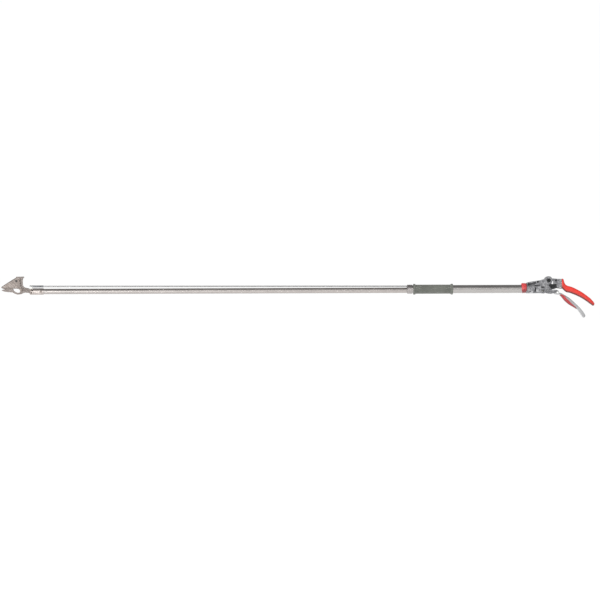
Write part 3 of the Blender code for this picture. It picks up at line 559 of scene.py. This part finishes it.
def plate(name, outline, y_from, y_to, round_mm=0.0):
    """A flat blank cut to an outline of (X, Z) points, from one Y to another, with rounded corners."""
    bpy.ops.mesh.primitive_circle_add(vertices=len(outline), radius=1, fill_type="NGON")
    blank_plate = bpy.context.object
    blank_plate.name = name
    for vertex, (x, z) in zip(blank_plate.data.vertices, outline):
        vertex.co = (x, y_from, z)
    edit(blank_plate)
    bpy.ops.mesh.extrude_region_move(TRANSFORM_OT_translate={"value": (0, y_to - y_from, 0)})
    bpy.ops.mesh.select_all(action="SELECT")
    bpy.ops.mesh.normals_make_consistent(inside=False)
    done()
    if round_mm:
        weight = blank_plate.data.attributes.new("bevel_weight_edge", "FLOAT", "EDGE")
        for edge, store in zip(blank_plate.data.edges, weight.data):
            a, b = (blank_plate.data.vertices[v].co for v in edge.vertices)
            store.value = 1.0 if abs(a.y - b.y) > 1e-6 else 0.0
        worked(blank_plate, "BEVEL", width=round_mm * MM, segments=5, limit_method="WEIGHT",
               use_clamp_overlap=True)
    return blank_plate


def of_finish(piece, number):
    """Marks all faces of a piece for the first, second or third finish of what it is joined to."""
    while len(piece.data.materials) < 3:
        piece.data.materials.append(None)
    for face in piece.data.polygons:
        face.material_index = number


def sunk(piece, outline, face_y, depth, round_mm):
    """Sinks a panel into a face, depth deep."""
    inward = -1 if face_y > 0 else 1
    cutter = plate("panel", outline, face_y + inward * depth, face_y - inward * 4 * MM, round_mm)
    # The panel's faces take the second finish, which is painted shade.
    of_finish(cutter, 1)
    worked(piece, "BOOLEAN", operation="DIFFERENCE", object=cutter)
    bpy.data.objects.remove(cutter)


def raised(piece, outline, face_y, height, round_mm):
    """Raises a rib or pad on a face, height high."""
    inward = -1 if face_y > 0 else 1
    rib = plate("rib", outline, face_y + inward * 0.8 * MM, face_y - inward * height, round_mm)
    # The rib's faces take the third finish, which is a painted highlight.
    of_finish(rib, 2)
    worked(piece, "BOOLEAN", operation="UNION", object=rib)
    bpy.data.objects.remove(rib)


def die_cast(name, light, dark, deep):
    """Tumbled zinc die casting: a coarse grey speckle, a fine grain in relief and rubbed high spots."""
    made, tree, shader = new_material(name, 0.46, 0.82, Coat_Weight=0.05, Coat_Roughness=0.5)
    place = add_node(tree, "ShaderNodeTexCoord")
    speckle = add_node(tree, "ShaderNodeTexNoise", Vector=place.outputs["Object"], Scale=520.0, Detail=4.0,
                       Roughness=0.7)
    patch = add_node(tree, "ShaderNodeTexNoise", Vector=place.outputs["Object"], Scale=150.0, Detail=3.0)
    pits = add_node(tree, "ShaderNodeTexVoronoi", {"feature": "F1"}, Vector=place.outputs["Object"],
                    Scale=900.0, Randomness=1.0)
    share = add_node(tree, "ShaderNodeMapRange", Value=speckle.outputs["Fac"], From_Min=0.36, From_Max=0.64)
    tone = add_node(tree, "ShaderNodeMix", {"data_type": "RGBA"}, i0=share.outputs[0],
                    i6=linear(dark), i7=linear(light))
    worn = add_node(tree, "ShaderNodeMapRange", Value=patch.outputs["Fac"], From_Min=0.42, From_Max=0.6)
    skin = add_node(tree, "ShaderNodeMix", {"data_type": "RGBA"}, i0=worn.outputs[0],
                    i6=linear(deep), i7=tone.outputs[2])
    gloss = add_node(tree, "ShaderNodeMapRange", Value=share.outputs[0], To_Min=0.56, To_Max=0.38)
    pit = add_node(tree, "ShaderNodeMapRange", Value=pits.outputs["Distance"], From_Max=0.45)
    height = add_node(tree, "ShaderNodeMath", {"operation": "ADD"}, i0=pit.outputs[0],
                      i1=speckle.outputs["Fac"])
    relief = add_node(tree, "ShaderNodeBump", Strength=0.55, Distance=0.06 * MM, Height=height.outputs[0])
    tree.links.new(skin.outputs[2], shader.inputs["Base Color"])
    tree.links.new(gloss.outputs[0], shader.inputs["Roughness"])
    tree.links.new(relief.outputs[0], shader.inputs["Normal"])
    return made


def cast_finish(piece, body, node):
    """Tumbled all over, with painted shade darkening the sunk panels and a painted highlight lightening the ribs.
    """
    for number, finish in enumerate((body_casting, painted_shade_panel_casting, painted_highlight_rib_casting)):
        piece.data.materials[number] = finish
    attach(piece, body)
    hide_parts(node)


body_casting = die_cast("tumbled_zinc_die_casting", "a2a2a4", "747476", "6b6b6e")
# The panel finish is painted shade in the sunk panels.
painted_shade_panel_casting = die_cast("casting_with_painted_shade_in_sunk_panels", "5c5c5e", "3a3a3c", "2f2f31")
# The rib finish is a painted highlight on the raised ribs.
painted_highlight_rib_casting = die_cast("casting_ribs_with_painted_highlight", "cbcbcc", "a2a2a4", "8e8e90")
for side in ("near", "far"):
    shell = blank("body_shell_" + side, "cast_body_shell_" + side)
    of_finish(shell, 0)
    sign = -1 if side == "near" else 1
    SKIN = sign * 10.5 * MM
    sunk(shell, [from_trigger(*p) for p in ((-56.5, -8.4), (-45, -5.2), (-38, -4.1), (-38, -9.6),
                                            (-46, -10.6), (-56.5, -13.2))], SKIN, 1.2 * MM, 1.0)
    sunk(shell, [from_trigger(*p) for p in ((-43.5, -14.2), (-27, -12.8), (-27, -16.4), (-43.5, -18.2))],
         SKIN, 1.8 * MM, 1.2)
    sunk(shell, [from_trigger(*p) for p in ((-43.5, -21), (-38.5, -20.4), (-38.5, -34), (-43.5, -34))],
         SKIN, 1.2 * MM, 1.4)
    raised(shell, [from_trigger(*p) for p in ((-51.6, -14.4), (-47, -13.8), (-47, -36), (-50, -37.6),
                                              (-58.5, -37.6), (-58.5, -34.8), (-51.6, -33.8))],
           SKIN, 1.5 * MM, 1.6)
    turns = [k * pi / 16 for k in range(32)]
    raised(shell, [from_trigger(-33.4 + 4.8 * cos(turn), -29.4 + 4.8 * sin(turn)) for turn in turns],
           SKIN, 1.2 * MM, 0)
    eased(shell, 0.55 * MM, segments=2, angle=38)
    cast_finish(shell, "handle", "body_shell_" + side)

# ------------------------------------------------------------------ screws of the body
# Black oxide socket-head screws with a hexagon recess: three cap screws that close the shells, and
# the large pivot bolt of the trigger with its zinc plated nut on the far side.
for name, key_mm in (("shell_screw_front", 2.5), ("shell_screw_top", 2.5), ("arm_screw", 2.5),
                     ("trigger_pivot_bolt", 5.0)):
    screw = blank(name, name + "_socket_head")
    hex_recess(screw, axis_of(name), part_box(name)[0].y, key_mm, (2.6 if key_mm > 3 else 1.2) * MM)
    eased(screw, 0.3 * MM)
    dressed(screw, black_oxide, "black_steel", "handle", name)
dressed(eased(blank("trigger_pivot_nut", "trigger_pivot_hex_nut"), 0.5 * MM), zinc, "plated_steel", "handle",
        "trigger_pivot_nut")

# ------------------------------------------------------------------ upper handle
# The fixed handle: a cast arm bolted between the shells, and a thick red vinyl sleeve pushed over its
# tang. The sleeve rises from the arm's block, turns back along the hand and ends in a rounded tip,
# with a small stop for the forefinger under its neck.
upper_arm = blank("upper_handle_arm", "cast_upper_arm")
of_finish(upper_arm, 0)
ARM_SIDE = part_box("upper_handle_arm")[1].y
for side in (-1, 1):
    sunk(upper_arm, [from_trigger(*p) for p in ((28.2, -17.2), (37, -17.2), (37, 1.6), (28.2, 1.6))],
         side * ARM_SIDE, 0.9 * MM, 1.6)
for face in upper_arm.data.polygons:
    face.material_index = 0
eased(upper_arm, 0.5 * MM, angle=38)
cast_finish(upper_arm, "handle", "upper_handle_arm")


def smooth_run(points, steps):
    """A smooth run of places through the given ones, which it passes through."""
    run = []
    last = len(points) - 1
    for i in range(last):
        a, b, c, d = (Vector(points[max(0, min(last, i + k))]) for k in (-1, 0, 1, 2))
        for k in range(steps):
            t = k / steps
            run.append(0.5 * ((2 * b) + (c - a) * t + (2 * a - 5 * b + 4 * c - d) * t * t
                              + (3 * b - a - 3 * c + d) * t ** 3))
    return [*run, Vector(points[-1])]


def rolled(name, rings):
    """A closed skin: a flat grid rolled round its rings of places, joined and filled at both ends."""
    along, around = len(rings) - 1, len(rings[0])
    bpy.ops.mesh.primitive_grid_add(x_subdivisions=along, y_subdivisions=around, size=1)
    skin = bpy.context.object
    skin.name = name
    for vertex in skin.data.vertices:
        i = round((vertex.co.x + 0.5) * along)
        j = round((vertex.co.y + 0.5) * around) % around
        vertex.co = rings[i][j]
    edit(skin)
    bpy.ops.mesh.remove_doubles(threshold=0.0000005)
    bpy.ops.mesh.fill_holes(sides=0)
    bpy.ops.mesh.select_all(action="SELECT")
    bpy.ops.mesh.normals_make_consistent(inside=False)
    done()
    return skin


def oval_rings(top_line, low_line, widths, half_width, around, squareness):
    """Rings of a rounded bar between a top and a bottom line, with its width at each place."""
    rings = []
    for top, low, width in zip(top_line, low_line, widths):
        middle, up = (top + low) / 2, (top - low) / 2
        ring = []
        for k in range(around):
            c, s = cos(2 * pi * k / around), sin(2 * pi * k / around)
            c = abs(c) ** squareness * (1 if c > 0 else -1)
            s = abs(s) ** squareness * (1 if s > 0 else -1)
            place = middle + up * s
            ring.append((place.x, half_width * width.x * c, place.y))
        rings.append(ring)
    return rings


SLEEVE_TOP = [(40, 4.6), (43.2, 5.2), (45.8, 3.8), (47.4, -1.5), (50, -9), (56.1, -15.3), (67, -18.6),
              (79.1, -23.4), (102.5, -36.2), (125.8, -53.5), (134, -62), (138.4, -67.2), (139.6, -70), (139.4, -72)]
SLEEVE_LOW = [(40, -23), (41.6, -24.6), (43.5, -26.6), (46.5, -29.4), (51.5, -33.9), (56.5, -36.4),
              (63, -37.6), (79.1, -43.4), (102.5, -54.9), (125.8, -71), (131, -74.8), (134.4, -77.2),
              (136.8, -77), (138.4, -75.4)]
SLEEVE_WIDTH = [1.08, 1.16, 1.14, 1.06, 1.0, 0.96, 0.95, 1.0, 1.0, 1.0, 0.92, 0.78, 0.6, 0.34]
grip_sleeve = rolled("red_vinyl_grip_sleeve", oval_rings(
    smooth_run([from_trigger(*p) for p in SLEEVE_TOP], 4),
    smooth_run([from_trigger(*p) for p in SLEEVE_LOW], 4),
    smooth_run([(w, 0) for w in SLEEVE_WIDTH], 4), 9.0 * MM, 40, 0.68))
tang = worked(blank("upper_handle_arm", "tang"), "DISPLACE", strength=0.25 * MM, mid_level=0)
worked(grip_sleeve, "BOOLEAN", operation="DIFFERENCE", object=tang)
bpy.data.objects.remove(tang)
smooth(grip_sleeve, 50)
# The grip's third colour is painted shade on its faces that look down.
handle_vinyl = vinyl("red_vinyl_grip_with_painted_underside_shade", "c62a1c", "ae1f16", "4a0a0a")
dressed(grip_sleeve, handle_vinyl, "red_vinyl", "handle", "upper_grip_sleeve")

# ------------------------------------------------------------------ trigger yoke and lever
# A cast yoke swings on the pivot bolt inside the shells. The trigger itself is a nickel plated steel
# channel, pressed from 1.6 mm sheet and held to the yoke by a bright rivet, with a red vinyl pad
# along the finger side and a plain rounded end.
dressed(eased(blank("trigger_yoke", "cast_trigger_yoke"), 0.5 * MM, angle=38), body_casting, "die_casting",
        "trigger", "trigger_yoke")
LEVER_TOP = [(18.4, -34.6), (28, -36.4), (38, -38.6), (47, -43.6), (55.2, -48.6), (66, -55.6), (79.7, -68.4),
             (92, -80), (102.5, -92), (109.4, -102), (111.2, -106), (111, -108.6)]
LEVER_LOW = [(17.6, -42), (25.6, -44), (33.4, -47), (43, -55), (52.2, -65), (66, -76), (85, -89),
             (94, -98), (101, -109), (104.6, -113.4), (106.6, -114), (108.6, -112.6)]
LEVER_HALF, SHEET = 8.6 * MM, 1.6 * MM
top_run = smooth_run([from_trigger(*p) for p in LEVER_TOP], 4)
low_run = smooth_run([from_trigger(*p) for p in LEVER_LOW], 4)
lifts = smooth_run([(0.6, 0), (0.6, 0), (3.4, 0), (3.4, 0), (3.4, 0), (3.4, 0), (3.4, 0), (0.6, 0), (0.6, 0),
                    (0.6, 0), (0.6, 0), (0.6, 0)], 4)
LIP_TURN = [k * pi / 8 for k in range(5)]
channel, pad = [], []
for i, (top, low, lift) in enumerate(zip(top_run, low_run, lifts)):
    up = (top - low).normalized()
    foot = low + up * lift.x * MM
    bed = foot + up * SHEET
    w, r = LEVER_HALF, 1.5 * MM
    heel = foot + up * r
    lip = min(2.6 * MM, (top - bed).length * 0.4)
    crest = top - up * lip
    outer = [(heel, w), *[(crest + up * lip * sin(a), w - 2.6 * MM + 2.6 * MM * cos(a)) for a in LIP_TURN],
             (top, w - 3.8 * MM)]
    inner = [(top - up * SHEET, w - 3.8 * MM), (top - up * SHEET, w - 2.6 * MM), (crest, w - SHEET),
             (bed, w - SHEET)]
    sole = [(foot, -w + r), (foot, w - r), (foot + up * 0.45 * MM, w - 0.45 * MM)]
    half = [*outer, *inner]
    channel.append([(p.x, y, p.y) for p, y in (
        *sole, *half, *[(p, -y) for p, y in reversed(half)], (foot + up * 0.45 * MM, -w + 0.45 * MM))])
    if 8 <= i <= 24:
        share = min(1.0, 0.35 + min(i - 8, 24 - i) * 0.13)
        side = [(-3.1, 0.78), (-2.2, 0.88), (-0.4, 0.98), (2.0, 1.07), (4.6, 1.15), (6.2, 1.19), (7.1, 1.16),
                (7.3, 1.08), (7.0, 1.03), (-0.3, 1.02)]
        half = [(foot + up * rise * MM * share, y * w) for rise, y in side]
        sole = [(foot - up * drop * MM * share, y * w) for drop, y in ((3.5, -0.5), (3.6, 0), (3.5, 0.5))]
        pad.append([(p.x, y, p.y) for p, y in (*sole, *half, *[(p, -y) for p, y in reversed(half)])])
lever = rolled("pressed_trigger_channel", channel)
nickel = surface("nickel_plated_trigger", "bdbdbe", "9a9a9c", 0.27, 1.0, 0.7, 0.02, stretch=(1, 0.3, 1),
                 turn=(0, radians(45), 0), Coat_Weight=0.1, Coat_Roughness=0.15)
rivet_at = axis_of("lever_rivet")
bpy.ops.mesh.primitive_cylinder_add(vertices=32, radius=2.3 * MM, depth=30 * MM, rotation=(pi / 2, 0, 0),
                                    location=(rivet_at[0], 0, rivet_at[1]))
drill = bpy.context.object
worked(lever, "BOOLEAN", operation="DIFFERENCE", object=drill)
bpy.data.objects.remove(drill)
eased(lever, 0.35 * MM, segments=2, angle=50)
dressed(lever, nickel, "bright_steel", "trigger", "trigger_lever")
liner = eased(rolled("red_vinyl_trigger_pad", pad), 0.3 * MM, angle=60)
# The pad's third colour is painted shade on its faces that look down.
dressed(smooth(liner, 50), vinyl("red_vinyl_trigger_pad", "b82a30", "981c22", "5a0c12"), "red_vinyl",
        "trigger", "trigger_liner")
bright = surface("polished_rivet_steel", "e2e2e0", "cfcfcd", 0.16, 1.0, 0.4, 0.005)
dressed(eased(blank("lever_rivet", "polished_lever_rivet"), 0.7 * MM, segments=3), bright, "bright_steel",
        "trigger", "lever_rivet")

# ------------------------------------------------------------------ mechanism inside the casting
# Between the shells the yoke pulls a steel link, the link a cast carriage, and the carriage the draw
# tube that the rod slides in. A steel torsion spring opens the trigger again.
for node, body in (("trigger_link", "trigger_link"), ("yoke_pin", "trigger"), ("carriage_pin", "carriage")):
    dressed(eased(blank(node, "zinc_plated_" + node), 0.3 * MM), zinc, "plated_steel", body, node)
for node, finish in (("draw_tube", zinc), ("return_spring", spring_steel), ("latch_catch", zinc),
                     ("draw_carriage", body_casting)):
    for place in node_of[node].material_slots:
        place.material = finish

# ------------------------------------------------------------------ lock latch
# A small black oxide thumb latch on a steel shaft through both shells. Its long ear is pushed with
# the thumb; its nose drops into a notch of the yoke and holds the trigger shut.
latch = eased(blank("lock_latch", "black_thumb_latch"), 0.7 * MM, segments=3, angle=50)
dressed(latch, black_oxide, "black_steel", "latch", "lock_latch")
latch_shaft = eased(blank("latch_shaft", "black_latch_shaft"), 0.4 * MM, segments=2)
dressed(latch_shaft, black_oxide, "black_steel", "latch", "latch_shaft")
